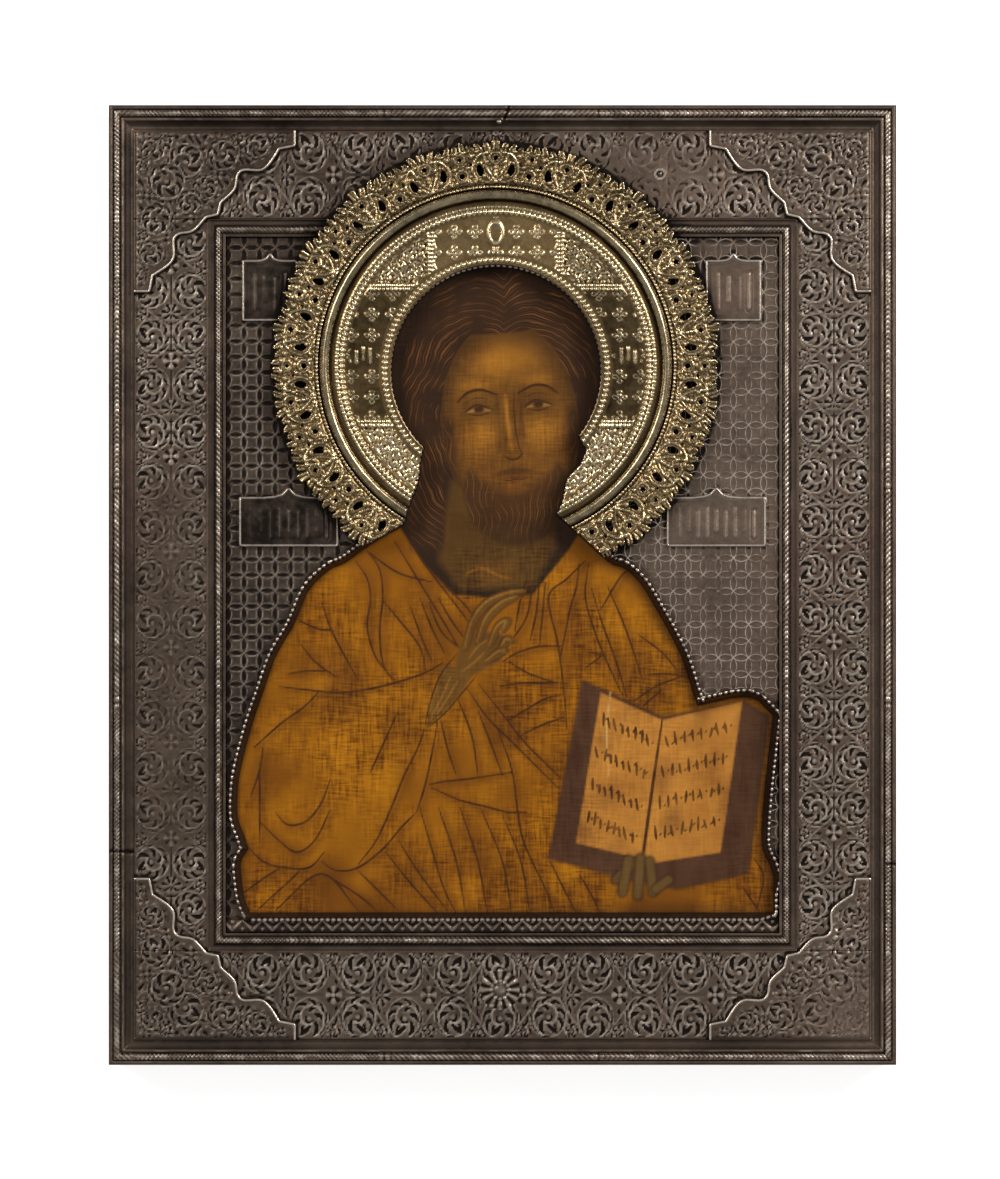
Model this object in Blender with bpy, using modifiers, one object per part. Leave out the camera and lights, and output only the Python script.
"""Icon panel: a painted board in a chased silver cover, with a pierced gilt halo.

The panel lies on its back. +X is to the picture's right, +Y to the picture's top and +Z out of
its face. The origin is the middle of the board's back face. All sizes are in metres.
"""

import math

import bmesh
import bpy
import numpy as np

MM = 0.001
WELD_DISTANCE = 0.000001

# Whole panel
PANEL_WIDTH = 256.0 * MM
PANEL_HEIGHT = 312.0 * MM
FIT = 0.3 * MM

# Board
BOARD_THICKNESS = 25.0 * MM
BOARD_CHAMFER = 1.0 * MM

# Cover: sheet, skirts and levels above the board's front
SHEET = 0.7 * MM
OVERLAP = 0.1 * MM
SKIRT_SHORT = 3.0 * MM
FIELD_RISE = 4.0 * MM
BAND_RISE = 5.0 * MM

# Cover: mouldings, from the outer edge inwards, and their heights above the band
EDGE_WIDTH = 1.5 * MM
EDGE_HEIGHT = 0.9 * MM
OUTER_ROPE_WIDTH = 2.5 * MM
OUTER_ROPE_HEIGHT = 1.8 * MM
FILLET_WIDTH = 0.8 * MM
FILLET_HEIGHT = 0.7 * MM
COVE_WIDTH = 3.5 * MM
COVE_DEPTH = 0.9 * MM
SIDE_BAND_WIDTH = 24.0 * MM
END_BAND_WIDTH = 28.8 * MM
GROOVE_WIDTH = 2.2 * MM
GROOVE_DEPTH = 0.4 * MM
INNER_ROPE_WIDTH = 2.4 * MM
INNER_ROPE_HEIGHT = 1.6 * MM
LINE_WIDTH = 1.1 * MM
LINE_HEIGHT = 0.3 * MM

# Cover: chain of crossing vines on the band
VINE_PITCH = 15.5 * MM
VINE_EDGE = 3.4 * MM
VINE_RADIUS = 0.5 * MM
VINE_STEPS = 3

# Cover: corner spandrels
SPANDREL_HEIGHT = 1.0 * MM
SPANDREL_LENGTH = 52.2 * MM
SPANDREL_RIM_RADIUS = 0.85 * MM
SPANDREL_OVERHANG = 2.6 * MM

# Cover: plaques
SMALL_PLAQUE_WIDTH = 17.4 * MM
SMALL_PLAQUE_HEIGHT = 19.1 * MM
SMALL_PLAQUE_PEAK = 2.3 * MM
SMALL_PLAQUE_SPREAD = 75.6 * MM
SMALL_PLAQUE_FROM_TOP = 7.9 * MM
LARGE_PLAQUE_WIDTH = 31.6 * MM
LARGE_PLAQUE_HEIGHT = 15.4 * MM
LARGE_PLAQUE_PEAK = 3.1 * MM
LARGE_PLAQUE_SPREAD = 69.5 * MM
LARGE_PLAQUE_FROM_TOP = 84.9 * MM
PLAQUE_RISE = 0.5 * MM
PLAQUE_RIM_RADIUS = 0.9 * MM
STROKE_WIDTH = 0.9 * MM
STROKE_RISE = 0.5 * MM

# Cover: sill band with its zigzag
SILL_WIDTH = 4.9 * MM
ZIGZAG_COUNT = 28
ZIGZAG_RADIUS = 0.35 * MM

# Cover: opening cut to the figure
FIGURE_SIDE_MARGIN = 1.8 * MM
FIGURE_HEIGHT = 126.0 * MM
NECK_DROP = 30.0 * MM
HEAD_RADIUS = 33.65 * MM
LIP_WIDTH = 1.7 * MM
NARROW_LIP_WIDTH = 0.3 * MM
RIB_WIDTH = 1.2 * MM
RIB_HEIGHT = 0.6 * MM
FLAT_RIB = 0.1 * MM

# Cover: joints and a tear in the outer moulding
JOINT_WIDTH = 0.35 * MM
LEFT_JOINT_LENGTH = 10.0 * MM
LEFT_JOINT_FROM_BOTTOM = 69.5 * MM
RIGHT_JOINT_LENGTH = 5.2 * MM
RIGHT_JOINT_FROM_BOTTOM = 65.3 * MM
TEAR_WIDTH = 0.8 * MM
TEAR_DEPTH = 4.4 * MM
TEAR_FROM_MIDDLE = 2.9 * MM

# Halo: bars that part its engraved band into a cross with wedges between
BAR_WIDTH = 1.6 * MM
BAR_HEIGHT = 0.7 * MM
TOP_ARM_HALF = 21.0 * MM
SIDE_ARM_TOP = 25.5 * MM
SIDE_ARM_BOTTOM = 18.7 * MM

# Halo
HALO_SHEET = 0.8 * MM
HALO_LIFT = 0.3 * MM
HALO_TIP_RADIUS = 73.9 * MM
HALO_LEAF_DEPTH = 3.9 * MM
HALO_RING_RADIUS = 55.6 * MM
HALO_RING_WIDTH = 3.2 * MM
HALO_RING_HEIGHT = 1.9 * MM
HALO_BEAD_HEIGHT = 0.6 * MM
HALO_PUNCHED_WIDTH = 1.9 * MM
HALO_BEAD_BAND_WIDTH = 2.9 * MM
HALO_STEP = 0.3 * MM
HALO_EDGE_BEADS = 2.4 * MM
HALO_BAND_INSET = 3.4 * MM
HALO_COLLAR = 0.7 * MM
HALO_OFF_CENTRE = 2.2 * MM
HALO_ABOVE_HEAD = 1.7 * MM
HALO_FACETS = 40
MOTIFS = 18
VISIBLE_MOTIFS = 15
BEAN_RADIUS = 63.2 * MM
BEAN_LENGTH = 5.4 * MM
BEAN_WIDTH = 2.0 * MM
BEAN_SPREAD = math.radians(4.2)
EYE_RADIUS = 62.3 * MM
EYE_SIZE = 1.0 * MM
STAR_RADIUS = 67.6 * MM
STAR_SIZE = 1.0 * MM

# Nails
NAIL_SHANK_RADIUS = 0.6 * MM
NAIL_DEPTH = 8.0 * MM
TOP_NAIL_HEAD = 1.1 * MM
TOP_NAIL_FROM_EDGE = 5.5 * MM
TOP_NAIL_FROM_MIDDLE = -1.1 * MM
RIGHT_NAIL_HEAD = 1.0 * MM
RIGHT_NAIL_FROM_EDGE = 22.4 * MM
RIGHT_NAIL_FROM_MIDDLE = 51.2 * MM

# Levels
FRONT = BOARD_THICKNESS
LIP_FOOT = FRONT + FIT
FIELD = FRONT + FIELD_RISE
BAND = FRONT + BAND_RISE
HALO_UNDERSIDE = max(BAND + INNER_ROPE_HEIGHT, FIELD + RIB_HEIGHT + FIT) + HALO_LIFT
HALO_TOP = HALO_UNDERSIDE + HALO_SHEET

# Distances from the panel's outer edge, first along the sides and then along the ends
ROPE_START = EDGE_WIDTH
ROPE_END = ROPE_START + OUTER_ROPE_WIDTH
COVE_START = ROPE_END + FILLET_WIDTH
BAND_START = COVE_START + COVE_WIDTH
INNER_START = np.array((BAND_START + SIDE_BAND_WIDTH, BAND_START + END_BAND_WIDTH))
INNER_ROPE_START = INNER_START + GROOVE_WIDTH
INNER_ROPE_END = INNER_ROPE_START + INNER_ROPE_WIDTH
FIELD_START = INNER_ROPE_END + LINE_WIDTH
HALF_PANEL = np.array((PANEL_WIDTH / 2, PANEL_HEIGHT / 2))
HALF_FIELD = HALF_PANEL - FIELD_START

# The figure's outline in shares of its opening's half width and of its height above the sill,
# as sections that are smooth between their ends: points, then lip width and rib height
OPENING_HALF_WIDTH = HALF_FIELD[0] - FIGURE_SIDE_MARGIN
OPENING_FOOT = -HALF_FIELD[1] + SILL_WIDTH + LIP_WIDTH
HEAD_CENTRE = np.array((-0.024 * OPENING_HALF_WIDTH,
                        OPENING_FOOT + FIGURE_HEIGHT + NECK_DROP + HEAD_RADIUS * 0.595))
HALO_CENTRE = np.array((-HALO_OFF_CENTRE, HEAD_CENTRE[1] + HALO_ABOVE_HEAD))
LEFT_SHOULDER = ((-0.363, 1.000), (-0.489, 0.949), (-0.580, 0.903), (-0.636, 0.885),
                 (-0.713, 0.833), (-0.769, 0.743), (-0.835, 0.663), (-0.882, 0.570),
                 (-0.920, 0.493), (-0.956, 0.400), (-0.975, 0.328), (-0.977, 0.248),
                 (-0.952, 0.196), (-0.938, 0.163))
LEFT_HEM = ((-0.938, 0.163), (-0.964, 0.132), (-0.964, 0.095), (-0.952, 0.037), (-0.931, 0.0))
FOOT = ((-0.931, 0.0), (-0.300, 0.0), (0.350, 0.0), (0.950, 0.0))
RIGHT_HEM = ((0.999, 0.0), (1.000, 0.092))
RIGHT_SLEEVE = ((1.000, 0.092), (0.985, 0.124), (0.960, 0.163), (0.956, 0.214), (0.967, 0.317),
                (0.979, 0.394), (0.997, 0.508))
BOOK_TOP = ((0.997, 0.508), (0.908, 0.557), (0.720, 0.534))
RIGHT_SHOULDER = ((0.720, 0.534), (0.699, 0.575), (0.684, 0.611), (0.658, 0.663),
                  (0.610, 0.730), (0.562, 0.789), (0.507, 0.851), (0.448, 0.889),
                  (0.391, 0.905), (0.278, 0.977), (0.195, 1.026))
RIGHT_NECK = ((0.0, 0.0), (2.0, 5.0), (3.6, 12.0), (7.6, 16.5), (9.7, 21.2))
LEFT_NECK = ((0.0, 0.0), (2.0, 6.3), (4.9, 14.0), (5.8, 21.5))

# The halo's lower edges, from its tips beside the head outwards, in millimetres
HALO_LEFT_EDGE = ((-7.3, -4.4), (-16.0, -8.3), (-31.0, -13.6))
HALO_RIGHT_EDGE = ((7.8, -7.0), (17.5, -15.7), (34.0, -33.0))

# Half of a spandrel's inner edge, from its cap to the cusp on the diagonal, in shares of its length
SPANDREL_EDGE = ((1.000, 0.094), (0.902, 0.113), (0.860, 0.180), (0.822, 0.226), (0.778, 0.247),
                 (0.682, 0.245), (0.642, 0.280), (0.623, 0.366), (0.538, 0.448), (0.521, 0.521))


def clear_scene():
    """Remove every object, so that the script starts from an empty scene."""
    for old in list(bpy.data.objects):
        bpy.data.objects.remove(old, do_unlink=True)


def make_material(name, colour, roughness, metallic):
    """Return a Principled material of one colour."""
    material = bpy.data.materials.new(name)
    material.use_nodes = True
    shader = material.node_tree.nodes["Principled BSDF"]
    shader.inputs["Base Color"].default_value = (*colour, 1.0)
    shader.inputs["Roughness"].default_value = roughness
    shader.inputs["Metallic"].default_value = metallic
    return material


def add_object(name, mesh, collection, material=None):
    """Put a mesh in a collection as a new object."""
    new = bpy.data.objects.new(name, mesh)
    collection.objects.link(new)
    if material is not None:
        mesh.materials.append(material)
    return new


def curve_to_mesh(curve_object, collection):
    """Replace a curve object by a welded mesh object at the same place."""
    name = curve_object.name
    evaluated = curve_object.evaluated_get(bpy.context.evaluated_depsgraph_get())
    mesh = bpy.data.meshes.new_from_object(evaluated)
    place = curve_object.matrix_world.copy()
    bpy.data.objects.remove(curve_object, do_unlink=True)
    weld = bmesh.new()
    weld.from_mesh(mesh)
    bmesh.ops.remove_doubles(weld, verts=weld.verts, dist=1e-7)
    bmesh.ops.recalc_face_normals(weld, faces=weld.faces)
    weld.to_mesh(mesh)
    weld.free()
    new = add_object(name, mesh, collection)
    new.matrix_world = place
    return new


def plate(name, outlines, bottom, top, collection):
    """Extrude flat outlines, the first one with the others as holes, from bottom to top."""
    curve = bpy.data.curves.new(name, "CURVE")
    curve.dimensions = "2D"
    curve.fill_mode = "BOTH"
    curve.extrude = (top - bottom) / 2
    for outline in outlines:
        spline = curve.splines.new("POLY")
        spline.points.add(len(outline) - 1)
        spline.use_cyclic_u = True
        for point, (x, y) in zip(spline.points, outline):
            point.co = (x, y, 0.0, 1.0)
    flat = add_object(name, curve, collection)
    flat.location.z = (bottom + top) / 2
    bpy.context.view_layer.update()
    return curve_to_mesh(flat, collection)


def ridge(name, path, height, radius, collection, closed=False, resolution=1):
    """Run a tube along a flat path, with its axis at one height."""
    curve = bpy.data.curves.new(name, "CURVE")
    curve.dimensions = "3D"
    curve.bevel_depth = radius
    curve.bevel_resolution = resolution
    curve.use_fill_caps = True
    spline = curve.splines.new("POLY")
    spline.points.add(len(path) - 1)
    spline.use_cyclic_u = closed
    for point, (x, y) in zip(spline.points, path):
        point.co = (x, y, height, 1.0)
    tube = add_object(name, curve, collection)
    bpy.context.view_layer.update()
    return curve_to_mesh(tube, collection)


def loft_ring(name, rings, collection):
    """Join closed rings of points in order, the last one to the first, as one tube-like solid."""
    shape = bmesh.new()
    rows = [[shape.verts.new(point) for point in ring] for ring in rings]
    count = len(rows[0])
    for row, following in zip(rows, rows[1:] + rows[:1]):
        for i in range(count):
            j = (i + 1) % count
            shape.faces.new((row[i], row[j], following[j], following[i]))
    bmesh.ops.recalc_face_normals(shape, faces=shape.faces)
    mesh = bpy.data.meshes.new(name)
    shape.to_mesh(mesh)
    shape.free()
    return add_object(name, mesh, collection)


def turned(name, profile, steps, centre, collection, material=None):
    """Turn a profile of radius and height once round a vertical axis, closed at the axis."""
    shape = bmesh.new()
    line = [shape.verts.new((radius, 0.0, height)) for radius, height in profile]
    for start, end in zip(line, line[1:]):
        shape.edges.new((start, end))
    if profile[0] != profile[-1] and profile[0][0] > 0.0:
        shape.edges.new((line[-1], line[0]))
    mesh = bpy.data.meshes.new(name)
    shape.to_mesh(mesh)
    shape.free()
    new = add_object(name, mesh, collection, material)
    new.location = (centre[0], centre[1], 0.0)
    screw = new.modifiers.new("turn", "SCREW")
    screw.steps = steps
    screw.render_steps = steps
    screw.use_merge_vertices = True
    screw.merge_threshold = 1e-6
    return new


def combine(target, operands, operation):
    """Join the operands to the target, or cut them from it, with one exact Boolean."""
    group = bpy.data.collections.new(target.name + "_" + operation.lower())
    cutters.children.link(group)
    for operand in operands:
        for old in list(operand.users_collection):
            old.objects.unlink(operand)
        group.objects.link(operand)
        operand.hide_render = True
        operand.display_type = "WIRE"
    modifier = target.modifiers.new(group.name, "BOOLEAN")
    modifier.operation = operation
    modifier.solver = "EXACT"
    modifier.operand_type = "COLLECTION"
    modifier.collection = group
    weld = target.modifiers.new(group.name + "_weld", "WELD")
    weld.merge_threshold = WELD_DISTANCE


def smooth(points, steps):
    """Return points along a Catmull-Rom curve through the given points."""
    knots = np.array(points, dtype=float)
    padded = np.vstack((2 * knots[0] - knots[1], knots, 2 * knots[-1] - knots[-2]))
    t = np.linspace(0.0, 1.0, steps, endpoint=False)[:, None]
    pieces = []
    for a, b, c, d in zip(padded, padded[1:], padded[2:], padded[3:]):
        pieces.append(0.5 * (2 * b + (c - a) * t + (2 * a - 5 * b + 4 * c - d) * t ** 2
                             + (3 * b - a - 3 * c + d) * t ** 3))
    return np.vstack(pieces + [knots[-1:]])


def circle(centre, radius, count, start=0.0):
    """Return points round a circle."""
    angles = start + np.arange(count) * 2 * math.pi / count
    return np.column_stack((centre[0] + radius * np.cos(angles), centre[1] + radius * np.sin(angles)))


def polar(angle, radius):
    """Return the point of the halo at an angle clockwise from its top and at a radius."""
    return HALO_CENTRE + radius * np.array((math.sin(angle), math.cos(angle)))


def offset(outline, distances):
    """Move a closed clockwise outline outwards, point by point, with mitred corners."""
    before = outline - np.roll(outline, 1, axis=0)
    after = np.roll(outline, -1, axis=0) - outline
    before = before / np.linalg.norm(before, axis=1)[:, None]
    after = after / np.linalg.norm(after, axis=1)[:, None]
    normal_before = np.column_stack((-before[:, 1], before[:, 0]))
    normal_after = np.column_stack((-after[:, 1], after[:, 0]))
    mitre = normal_before + normal_after
    length = np.maximum((mitre ** 2).sum(axis=1) / 2, 0.6)
    return outline + mitre / length[:, None] * np.asarray(distances)[:, None]


def rectangle(half_width, half_height):
    """Return the corners of a rectangle about the panel's middle, clockwise."""
    return np.array(((-half_width, -half_height), (-half_width, half_height),
                     (half_width, half_height), (half_width, -half_height)))


def at_height(points, height):
    """Give flat points a height."""
    return np.column_stack((points, np.full(len(points), height)))


def figure_points(section, steps):
    """Turn shares of the opening into points along a smooth curve."""
    scale = np.array((OPENING_HALF_WIDTH, FIGURE_HEIGHT))
    return smooth(np.array(section) * scale + np.array((0.0, OPENING_FOOT)), steps)


def neck_points(foot, section, side):
    """Return a neck edge from the shoulder up to the head's circle."""
    return smooth(foot + np.array(section) * MM * np.array((side, 1.0)), 2)


def figure_opening():
    """Return the opening's outline at the painting, clockwise, with each point's lip and rib."""
    left_neck = neck_points(figure_points(LEFT_SHOULDER, 1)[0], LEFT_NECK, 1.0)
    right_neck = neck_points(figure_points(RIGHT_SHOULDER, 1)[-1], RIGHT_NECK, 1.0)
    start = math.atan2(*(left_neck[-1] - HEAD_CENTRE))
    end = math.atan2(*(right_neck[-1] - HEAD_CENTRE))
    angles = np.linspace(start, end, 22)[1:-1]
    head = HEAD_CENTRE + HEAD_RADIUS * np.column_stack((np.sin(angles), np.cos(angles)))
    sections = ((left_neck, NARROW_LIP_WIDTH, RIB_HEIGHT),
                (head, NARROW_LIP_WIDTH, RIB_HEIGHT),
                (right_neck[::-1], NARROW_LIP_WIDTH, RIB_HEIGHT),
                (figure_points(RIGHT_SHOULDER[::-1], 1)[1:], LIP_WIDTH, RIB_HEIGHT),
                (figure_points(BOOK_TOP[::-1], 1)[1:], LIP_WIDTH, RIB_HEIGHT),
                (figure_points(RIGHT_SLEEVE[::-1], 1)[1:], LIP_WIDTH, RIB_HEIGHT),
                (figure_points(RIGHT_HEM[::-1], 1)[1:], NARROW_LIP_WIDTH, FLAT_RIB),
                (figure_points(FOOT[::-1], 1), LIP_WIDTH, FLAT_RIB),
                (figure_points(LEFT_HEM[::-1], 2)[1:], LIP_WIDTH, RIB_HEIGHT),
                (figure_points(LEFT_SHOULDER[::-1], 1)[1:-1], LIP_WIDTH, RIB_HEIGHT))
    outline = np.vstack([points for points, lip, rib in sections])
    lips = np.concatenate([np.full(len(points), lip) for points, lip, rib in sections])
    ribs = np.concatenate([np.full(len(points), rib) for points, lip, rib in sections])
    return outline, lips, ribs


def half_round(start, end, foot, height, count=5):
    """Return a half-round bead's section between two distances, with both its feet."""
    angles = np.linspace(math.pi, 0.0, count)
    across = (1 + np.cos(angles)) / 2
    return [(start + (end - start) * share, foot + height * math.sin(angle))
            for share, angle in zip(across, angles)]


def frame_section():
    """Return the frame's section as distances from the outer edges and heights, once round."""
    top = [(0.0, SKIRT_SHORT), (0.0, BAND), (0.2 * EDGE_WIDTH, BAND + 0.7 * EDGE_HEIGHT),
           (0.7 * EDGE_WIDTH, BAND + EDGE_HEIGHT)]
    top += half_round(ROPE_START, ROPE_END, BAND + 0.5 * FILLET_HEIGHT,
                      OUTER_ROPE_HEIGHT - 0.5 * FILLET_HEIGHT)
    top += [(ROPE_END + 0.1 * FILLET_WIDTH, BAND + FILLET_HEIGHT), (COVE_START, BAND + FILLET_HEIGHT)]
    for share, drop in ((0.1, 0.35), (0.35, 0.8), (0.7, 1.0), (0.95, 0.85)):
        fall = (FILLET_HEIGHT + COVE_DEPTH) * drop
        top.append((COVE_START + share * COVE_WIDTH, BAND + FILLET_HEIGHT - fall))
    top.append((BAND_START, BAND))
    top = [(np.full(2, distance), height) for distance, height in top]
    top += [(INNER_START, BAND), (INNER_START + 0.1 * GROOVE_WIDTH, BAND - GROOVE_DEPTH),
            (INNER_ROPE_START - 0.1 * GROOVE_WIDTH, BAND - GROOVE_DEPTH)]
    top += half_round(INNER_ROPE_START, INNER_ROPE_END, BAND - 0.5 * GROOVE_DEPTH,
                      INNER_ROPE_HEIGHT + 0.5 * GROOVE_DEPTH)
    top += [(INNER_ROPE_END + 0.1 * LINE_WIDTH, BAND + LINE_HEIGHT),
            (FIELD_START, BAND + LINE_HEIGHT)]
    under_field = FIELD - SHEET - OVERLAP
    under = [(FIELD_START, under_field), (INNER_ROPE_START, under_field),
             (INNER_ROPE_START, BAND - GROOVE_DEPTH - SHEET),
             (INNER_START, BAND - GROOVE_DEPTH - SHEET), (INNER_START, BAND - SHEET)]
    outer = [(BAND_START, BAND - SHEET), (BAND_START - 0.1 * COVE_WIDTH, BAND - COVE_DEPTH - SHEET),
             (COVE_START + 0.5 * COVE_WIDTH, BAND - COVE_DEPTH - SHEET),
             (COVE_START - 0.3 * FILLET_WIDTH, BAND + FILLET_HEIGHT - 1.6 * SHEET),
             (SHEET, BAND - SHEET), (SHEET, SKIRT_SHORT)]
    return top + under + [(np.full(2, distance), height) for distance, height in outer]


def frame_ring(name, collection):
    """Build skirts, mouldings and band as one mitred ring."""
    rings = [at_height(rectangle(*(HALF_PANEL - distance)), height)
             for distance, height in frame_section()]
    return loft_ring(name, rings, collection)


def figure_lip(name, outline, lips, ribs, collection):
    """Build the edge that turns down to the painting, with its rib for the beads."""
    rib_end = lips + RIB_WIDTH
    section = ((0.0 * lips, LIP_FOOT), (lips - OVERLAP, FIELD - OVERLAP),
               (lips + RIB_WIDTH / 2, FIELD + ribs), (rib_end, FIELD - OVERLAP),
               (rib_end - 0.2 * RIB_WIDTH, FIELD - 0.85 * SHEET), (0.0 * lips + SHEET, LIP_FOOT))
    rings = [np.column_stack((offset(outline, distance), np.zeros(len(outline)) + height))
             for distance, height in section]
    return loft_ring(name, rings, collection)


def spandrel(name, side, end, collection):
    """Build one raised corner plate with its rounded rim."""
    half = np.array(SPANDREL_EDGE) * SPANDREL_LENGTH
    edge = np.vstack((half, half[-2::-1, ::-1]))
    cap = np.array(((SPANDREL_LENGTH, -SPANDREL_OVERHANG),))
    tuck = -0.1 * COVE_WIDTH
    plan = np.vstack((edge, ((tuck, edge[-1, 1]), (tuck, tuck), (edge[0, 0], tuck))))
    rim = np.vstack((cap, edge, cap[:, ::-1]))

    def place(points):
        """Move corner distances to the panel's own corner."""
        return (HALF_PANEL - BAND_START - points) * np.array((side, end))

    top = BAND + SPANDREL_HEIGHT
    plan = plan - 0.3 * SPANDREL_RIM_RADIUS * (plan > SPANDREL_RIM_RADIUS)
    body = plate(name + "_plate", [place(plan)], BAND - 0.8 * SHEET, top, collection)
    bead = ridge(name + "_rim", place(rim), top - 0.2 * SPANDREL_RIM_RADIUS, SPANDREL_RIM_RADIUS,
                 collection, resolution=0)
    return [body, bead]


def vines(name, start, along, length, width, collection):
    """Build two mirrored wavy ridges that cross in a chain along one stretch of band."""
    pitches = int(length / VINE_PITCH)
    steps = np.linspace(-pitches / 2, pitches / 2, VINE_STEPS * pitches + 1)
    run = steps[:, None] * VINE_PITCH * along
    across = np.array((along[1], -along[0]))
    swing = (np.sin(math.pi * (steps + pitches / 2)) * (width / 2 - VINE_EDGE))[:, None] * across
    return [ridge(f"{name}_{sign}", start + run + sign * swing, BAND, VINE_RADIUS, collection,
                  resolution=0) for sign in (-1, 1)]


def plaque(name, centre_x, top_y, width, height, peak, strokes, collection):
    """Build one bracket-topped plaque with its rim and a row of plain strokes."""
    rise = np.array(((-0.50, 0.0), (-0.20, 0.02), (-0.08, 0.30), (0.0, 1.0), (0.08, 0.30),
                     (0.20, 0.02), (0.50, 0.0))) * np.array((width, peak))
    outline = np.vstack((rise, ((width / 2, -height), (-width / 2, -height))))
    outline = outline + np.array((centre_x, top_y))
    top = FIELD + PLAQUE_RISE
    inside = offset(outline, np.full(len(outline), -0.4 * PLAQUE_RIM_RADIUS))
    pieces = [plate(name + "_plate", [inside], FIELD - 0.8 * SHEET, top, collection),
              ridge(name + "_rim", outline, FIELD - 0.1 * PLAQUE_RIM_RADIUS, PLAQUE_RIM_RADIUS,
                    collection, closed=True, resolution=0)]
    pitch = (width - 4 * PLAQUE_RIM_RADIUS) / strokes
    for i in range(strokes):
        x = centre_x + (i - (strokes - 1) / 2) * pitch
        length = height * (0.56 if i % 3 else 0.36)
        middle = top_y - height * (0.5 if i % 3 else 0.56)
        bar = np.array(((-0.5, -0.5), (-0.5, 0.5), (0.5, 0.5), (0.5, -0.5)))
        bar = bar * np.array((STROKE_WIDTH, length)) + np.array((x, middle))
        pieces.append(plate(f"{name}_stroke_{i}", [bar], FIELD + 0.2 * PLAQUE_RISE,
                            top + STROKE_RISE, collection))
    return pieces


def zigzag(name, collection):
    """Build the sill's zigzag ridge between the frame and the figure's foot."""
    count = 2 * ZIGZAG_COUNT + 1
    x = np.linspace(-HALF_FIELD[0] + ZIGZAG_RADIUS, HALF_FIELD[0] - ZIGZAG_RADIUS, count)
    low = -HALF_FIELD[1] + 3 * ZIGZAG_RADIUS
    high = -HALF_FIELD[1] + SILL_WIDTH - 3 * ZIGZAG_RADIUS
    y = np.where(np.arange(count) % 2, high, low)
    return ridge(name, np.column_stack((x, y)), FIELD, ZIGZAG_RADIUS, collection, resolution=0)


def nail_places():
    """Return each nail's name, place, head radius and the height of its head's underside."""
    top_place = (TOP_NAIL_FROM_MIDDLE, PANEL_HEIGHT / 2 - TOP_NAIL_FROM_EDGE)
    right_place = (RIGHT_NAIL_FROM_MIDDLE, PANEL_HEIGHT / 2 - RIGHT_NAIL_FROM_EDGE)
    return (("nail_top", top_place, TOP_NAIL_HEAD, BAND + FILLET_HEIGHT + FIT),
            ("nail_right", right_place, RIGHT_NAIL_HEAD, BAND + FIT))


def nail_holes(name, bottom, collection):
    """Return a cutter for each nail's hole, from a depth upwards."""
    return [plate(f"{name}_{nail}", [circle(place, NAIL_SHANK_RADIUS + FIT, 10)],
                  bottom, BAND + 10 * MM, collection)
            for nail, place, head, underside in nail_places()]


def build_board(collection, material):
    """Build the wooden panel, chamfered, with holes for the nails."""
    bpy.ops.mesh.primitive_cube_add(size=1.0, location=(0.0, 0.0, BOARD_THICKNESS / 2))
    board = bpy.context.object
    board.name = "board"
    board.data.name = "board"
    inset = 2 * (SHEET + FIT)
    board.scale = (PANEL_WIDTH - inset, PANEL_HEIGHT - inset, BOARD_THICKNESS)
    bpy.ops.object.transform_apply(location=False, rotation=False, scale=True)
    for old in list(board.users_collection):
        old.objects.unlink(board)
    collection.objects.link(board)
    board.data.materials.append(material)
    bevel = board.modifiers.new("chamfer", "BEVEL")
    bevel.width = BOARD_CHAMFER
    bevel.segments = 1
    bottom = FRONT - NAIL_DEPTH - FIT
    combine(board, nail_holes("board_hole", bottom, cutters), "DIFFERENCE")
    return board


def build_cover(collection, material):
    """Build the chased silver cover as one sheet."""
    outline, lips, ribs = figure_opening()
    cover = frame_ring("cover", collection)
    cover.data.materials.append(material)
    hole = offset(outline, lips + 0.7 * RIB_WIDTH)
    hole = np.clip(hole, FIT - HALF_FIELD, HALF_FIELD - FIT)
    field = rectangle(*(HALF_FIELD + 0.5 * LINE_WIDTH))
    parts = [plate("field_plate", [field, hole], FIELD - SHEET, FIELD, cutters),
             figure_lip("figure_lip", outline, lips, ribs, cutters),
             zigzag("sill_zigzag", cutters)]
    for end_name, end in (("top", 1), ("bottom", -1)):
        for side_name, side in (("left", -1), ("right", 1)):
            parts += spandrel(f"spandrel_{end_name}_{side_name}", side, end, cutters)
    middle = (HALF_PANEL - BAND_START + HALF_FIELD + (FIELD_START - INNER_START)) / 2
    for number, direction in enumerate((-1, 1)):
        parts += vines(f"side_vine_{number}", np.array((direction * middle[0], 0.0)),
                       np.array((0.0, 1.0)), PANEL_HEIGHT - 2 * BAND_START - 2 * SPANDREL_LENGTH,
                       SIDE_BAND_WIDTH, cutters)
        parts += vines(f"end_vine_{number}", np.array((0.0, direction * middle[1])),
                       np.array((1.0, 0.0)), PANEL_WIDTH - 2 * BAND_START - 2 * SPANDREL_LENGTH,
                       END_BAND_WIDTH, cutters)
    for side_name, side in (("left", -1), ("right", 1)):
        parts += plaque(f"small_plaque_{side_name}", side * SMALL_PLAQUE_SPREAD,
                        HALF_FIELD[1] - SMALL_PLAQUE_FROM_TOP, SMALL_PLAQUE_WIDTH,
                        SMALL_PLAQUE_HEIGHT, SMALL_PLAQUE_PEAK, 3, cutters)
        parts += plaque(f"large_plaque_{side_name}", side * LARGE_PLAQUE_SPREAD,
                        HALF_FIELD[1] - LARGE_PLAQUE_FROM_TOP, LARGE_PLAQUE_WIDTH, LARGE_PLAQUE_HEIGHT, LARGE_PLAQUE_PEAK, 6, cutters)
    combine(cover, parts, "UNION")
    combine(cover, joint_cutters() + nail_holes("cover_hole", 0.0, cutters), "DIFFERENCE")
    return cover


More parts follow.
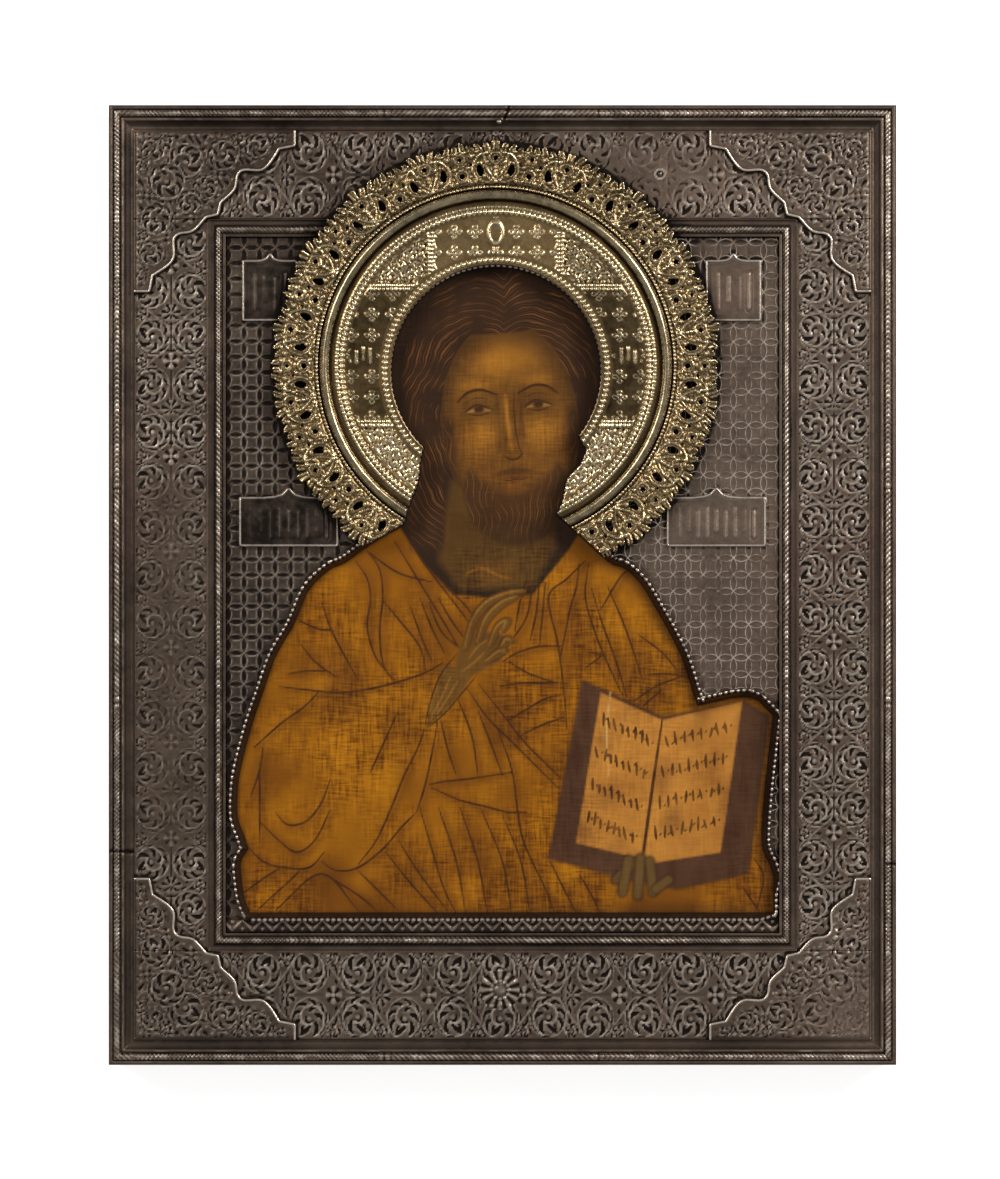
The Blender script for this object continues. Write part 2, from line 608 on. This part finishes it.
def joint_cutters():
    """Return cutters for the two joints of the outer moulding and the tear at its top."""
    tall = BAND + 10 * MM
    left, bottom = -HALF_PANEL
    right, top = HALF_PANEL
    reach = 2 * FIT
    slits = []
    for name, edge, inwards, length, from_bottom in (
            ("left_joint", left, 1, LEFT_JOINT_LENGTH, LEFT_JOINT_FROM_BOTTOM),
            ("right_joint", right, -1, RIGHT_JOINT_LENGTH, RIGHT_JOINT_FROM_BOTTOM)):
        near = edge - inwards * reach
        far = edge + inwards * length
        low = bottom + from_bottom
        corners = ((near, low), (near, low + JOINT_WIDTH), (far, low + JOINT_WIDTH), (far, low))
        slits.append(plate(name, [corners], 0.0, tall, cutters))
    x = TEAR_FROM_MIDDLE
    tear = ((x - TEAR_WIDTH / 2, top + reach), (x + TEAR_WIDTH / 2, top + reach),
            (x - TEAR_WIDTH, top - TEAR_DEPTH), (x - 1.6 * TEAR_WIDTH, top - TEAR_DEPTH))
    slits.append(plate("top_tear", [tear], 0.0, tall, cutters))
    return slits


def dish_section():
    """Return the halo's turned section as radii and heights, clockwise from its inner edge."""
    ring_in = HALO_RING_RADIUS - HALO_RING_WIDTH / 2
    ring_out = HALO_RING_RADIUS + HALO_RING_WIDTH / 2
    punched_in = ring_in - HALO_PUNCHED_WIDTH
    beads_in = punched_in - HALO_BEAD_BAND_WIDTH
    bead = HALO_BEAD_HEIGHT
    inner = HEAD_RADIUS * 0.85
    inner_beads = HEAD_RADIUS + HALO_EDGE_BEADS
    raised = HALO_TOP + HALO_STEP
    edge = HALO_TOP + 0.7 * HALO_STEP
    top = [(inner, edge), (inner_beads - bead, edge), (inner_beads, edge + bead),
           (inner_beads + bead, HALO_TOP), (beads_in, raised),
           (beads_in + 0.4 * HALO_BEAD_BAND_WIDTH, raised + bead), (punched_in, raised),
           (ring_in, raised)]
    top += half_round(ring_in, ring_out, raised, HALO_RING_HEIGHT)[1:]
    crown_in = ring_out + 2.5 * bead
    top += [(ring_out + bead, edge + bead), (crown_in, HALO_TOP + 0.5 * HALO_STEP)]
    under = [(crown_in, HALO_UNDERSIDE - OVERLAP), (inner, HALO_UNDERSIDE - OVERLAP)]
    return top + under


def crown_outline():
    """Return the crown's leafy edge: groups of pointed leaves, one in each long."""
    groups = 2 * MOTIFS
    shape = ((0.0, 0.0), (0.25, 0.75), (0.45, 0.4), (0.7, 1.0))
    points = []
    for group in range(groups):
        for share, reach in shape:
            angle = (group + share - 0.5) * 2 * math.pi / groups
            points.append(polar(angle, HALO_TIP_RADIUS - HALO_LEAF_DEPTH * (1 - reach)))
    return np.array(points)


def bean(angle, side):
    """Return a bean-shaped hole whose hollow side faces the motif's axis."""
    t = np.arange(6) * 2 * math.pi / 6
    along = BEAN_LENGTH / 2 * np.cos(t)
    across = BEAN_WIDTH / 2 * np.sin(t) - 0.5 * BEAN_WIDTH * (np.cos(t) ** 2 - 0.5)
    lean = 0.35 * along
    radius = BEAN_RADIUS + along
    turn = angle + side * (BEAN_SPREAD + (across - lean) / BEAN_RADIUS)
    return HALO_CENTRE + np.column_stack((radius * np.sin(turn), radius * np.cos(turn)))


def crown_holes():
    """Return the crown's pierced holes: two beans and a star a motif, an eye between motifs."""
    holes = []
    half = VISIBLE_MOTIFS // 2
    for motif in range(-half, half + 1):
        angle = motif * 2 * math.pi / MOTIFS
        holes += [bean(angle, 1), bean(angle, -1)]
        holes.append(circle(polar(angle, STAR_RADIUS), STAR_SIZE, 4, -angle))
        if motif < half:
            between = angle + math.pi / MOTIFS
            holes.append(circle(polar(between, EYE_RADIUS), EYE_SIZE, 5, -between))
            holes.append(circle(polar(between, STAR_RADIUS), 0.8 * STAR_SIZE, 3, -between))
    return holes


def cross_bars():
    """Return the bars across the engraved band, at the sides of the cross's three arms."""
    inner = HEAD_RADIUS + HALO_BAND_INSET
    outer = HALO_RING_RADIUS - HALO_RING_WIDTH / 2 - HALO_PUNCHED_WIDTH - HALO_BEAD_BAND_WIDTH
    bars = []
    for side in (-1, 1):
        for reach, upright in ((TOP_ARM_HALF, True), (SIDE_ARM_TOP, False), (-SIDE_ARM_BOTTOM, False)):
            near = math.sqrt(inner ** 2 - reach ** 2)
            far = math.sqrt(outer ** 2 - reach ** 2)
            span = np.array(((near, -0.5), (near, 0.5), (far, 0.5), (far, -0.5)))
            length, breadth = span[:, 0], span[:, 1] * BAR_WIDTH + reach
            points = (side * breadth, length) if upright else (side * length, breadth)
            bars.append(plate(f"halo_bar_{side}_{reach:.4f}", [HALO_CENTRE + np.column_stack(points)],
                              HALO_UNDERSIDE + 0.3 * HALO_SHEET, HALO_TOP + 0.7 * HALO_STEP + BAR_HEIGHT,
                              cutters))
    return bars


def halo_edges():
    """Return the halo's inner edge from its left tip over the head to its right tip."""
    outline, lips, ribs = figure_opening()
    head = np.isclose(lips, NARROW_LIP_WIDTH) & np.isclose(ribs, RIB_HEIGHT)
    seat = lips + RIB_WIDTH / 2
    inner = offset(outline, seat - HALO_COLLAR / 2)[head]
    outer = offset(outline, seat + HALO_COLLAR / 2)[head]
    return inner, outer


def build_halo(collection, material):
    """Build the gilt halo: turned dish, pierced crown and collar, cut along the shoulders."""
    inner, outer = halo_edges()
    halo = turned("halo", dish_section(), HALO_FACETS, HALO_CENTRE, collection, material)
    crown_inner = circle(HALO_CENTRE, HALO_RING_RADIUS + HALO_RING_WIDTH / 2 + HALO_BEAD_HEIGHT,
                         HALO_FACETS)
    crown = plate("halo_crown", [crown_outline(), crown_inner] + crown_holes(),
                  HALO_UNDERSIDE, HALO_TOP, cutters)
    combine(halo, [crown] + cross_bars(), "UNION")
    far = 2 * HALO_TIP_RADIUS
    left_edge = inner[0] + np.array(HALO_LEFT_EDGE[::-1]) * MM
    right_edge = inner[-1] + np.array(HALO_RIGHT_EDGE) * MM
    around = np.array(((right_edge[-1, 0], -far), (left_edge[0, 0] - far, -far),
                       (left_edge[0, 0] - far, left_edge[0, 1])))
    cut = np.vstack((left_edge, inner, right_edge, around))
    combine(halo, [plate("figure_cut", [cut], 0.0, 2 * HALO_TOP, cutters)], "DIFFERENCE")
    wall = np.vstack((inner, outer[::-1]))
    foot = FIELD + RIB_HEIGHT + FIT
    combine(halo, [plate("halo_collar", [wall], foot, HALO_TOP, cutters)], "UNION")
    return halo


def build_nails(collection, material):
    """Build the two nails, each a shank under a domed head."""
    for name, place, head, underside in nail_places():
        shank = NAIL_SHANK_RADIUS
        profile = [(0.0, underside + 0.75 * head), (0.6 * head, underside + 0.6 * head),
                   (head, underside + 0.15 * head), (head, underside), (shank, underside),
                   (shank, FRONT - NAIL_DEPTH + shank), (0.0, FRONT - NAIL_DEPTH)]
        turned(name, profile, 8, place, collection, material)


clear_scene()
scene_root = bpy.context.scene.collection
panel = bpy.data.collections.new("icon_panel")
cutters = bpy.data.collections.new("cutters")
scene_root.children.link(panel)
scene_root.children.link(cutters)
build_board(panel, make_material("painted_wood", (0.40, 0.18, 0.03), 0.55, 0.0))
build_cover(panel, make_material("darkened_silver", (0.16, 0.13, 0.11), 0.42, 1.0))
build_halo(panel, make_material("gilt_silver", (0.62, 0.47, 0.22), 0.30, 1.0))
build_nails(panel, make_material("nail_silver", (0.30, 0.27, 0.23), 0.38, 1.0))
